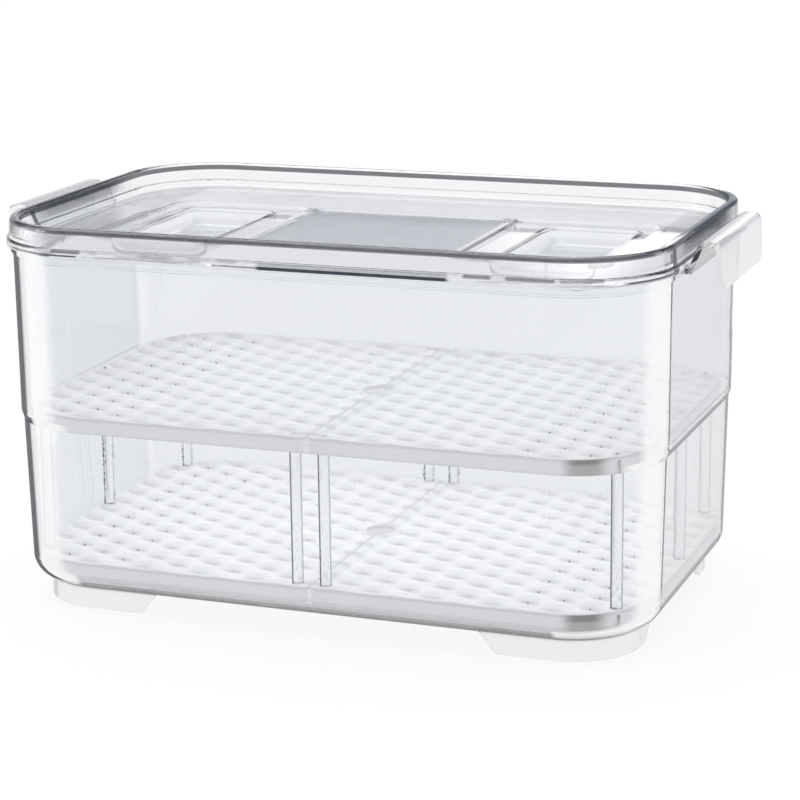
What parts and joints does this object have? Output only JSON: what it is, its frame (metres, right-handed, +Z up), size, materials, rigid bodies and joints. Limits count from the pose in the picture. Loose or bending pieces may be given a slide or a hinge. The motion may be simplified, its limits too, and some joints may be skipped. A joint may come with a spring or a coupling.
{
  "type": "fridge bin",
  "caption": "Clear lidded refrigerator bin with end handles and corner feet, holding a two-tier rack of perforated drain trays on plug-in legs.",
  "frame": {"origin": "on the resting plane under the middle of the tub", "axes": "+X along the length through the two end handles, +Y from front to back, +Z up"},
  "size_m": [0.3548, 0.2078, 0.185],
  "materials": {
    "clear_tub": "clear polished",
    "clear_lid": "clear polished",
    "frosted_tray": "frosted, quilted",
    "clear_leg": "clear polished"
  },
  "bodies": {
    "tub": {"tub": "clear_tub"},
    "lid": {"lid": "clear_lid"},
    "upper_left": {"upper_left_tray": "frosted_tray", "left_leg_front_inner": "clear_leg", "left_leg_back_inner": "clear_leg", "left_leg_front_corner": "clear_leg", "left_leg_back_corner": "clear_leg", "left_leg_outer_middle": "clear_leg"},
    "upper_right": {"upper_right_tray": "frosted_tray", "right_leg_front_inner": "clear_leg", "right_leg_back_inner": "clear_leg", "right_leg_front_corner": "clear_leg", "right_leg_back_corner": "clear_leg", "right_leg_outer_middle": "clear_leg"},
    "lower_left": {"lower_left_tray": "frosted_tray"},
    "lower_right": {"lower_right_tray": "frosted_tray"}
  },
  "joints": [
    {"name": "lid_lift", "type": "slide", "parent": "tub", "child": "lid", "axis": [0, 0, 1], "range_m": [0, 0.36]},
    {"name": "upper_left_lift", "type": "slide", "parent": "tub", "child": "upper_left", "axis": [0, 0, 1], "range_m": [0, 0.18]},
    {"name": "upper_right_lift", "type": "slide", "parent": "tub", "child": "upper_right", "axis": [0, 0, 1], "range_m": [0, 0.18]},
    {"name": "lower_left_lift", "type": "slide", "parent": "tub", "child": "lower_left", "axis": [0, 0, 1], "range_m": [0, 0.1656]},
    {"name": "lower_right_lift", "type": "slide", "parent": "tub", "child": "lower_right", "axis": [0, 0, 1], "range_m": [0, 0.1656]}
  ],
  "couplings": [
    {"joint": "upper_left_lift", "follows": "lid_lift", "ratio": 0.5},
    {"joint": "upper_right_lift", "follows": "lid_lift", "ratio": 0.5},
    {"joint": "lower_left_lift", "follows": "lid_lift", "ratio": 0.46},
    {"joint": "lower_right_lift", "follows": "lid_lift", "ratio": 0.46}
  ]
}
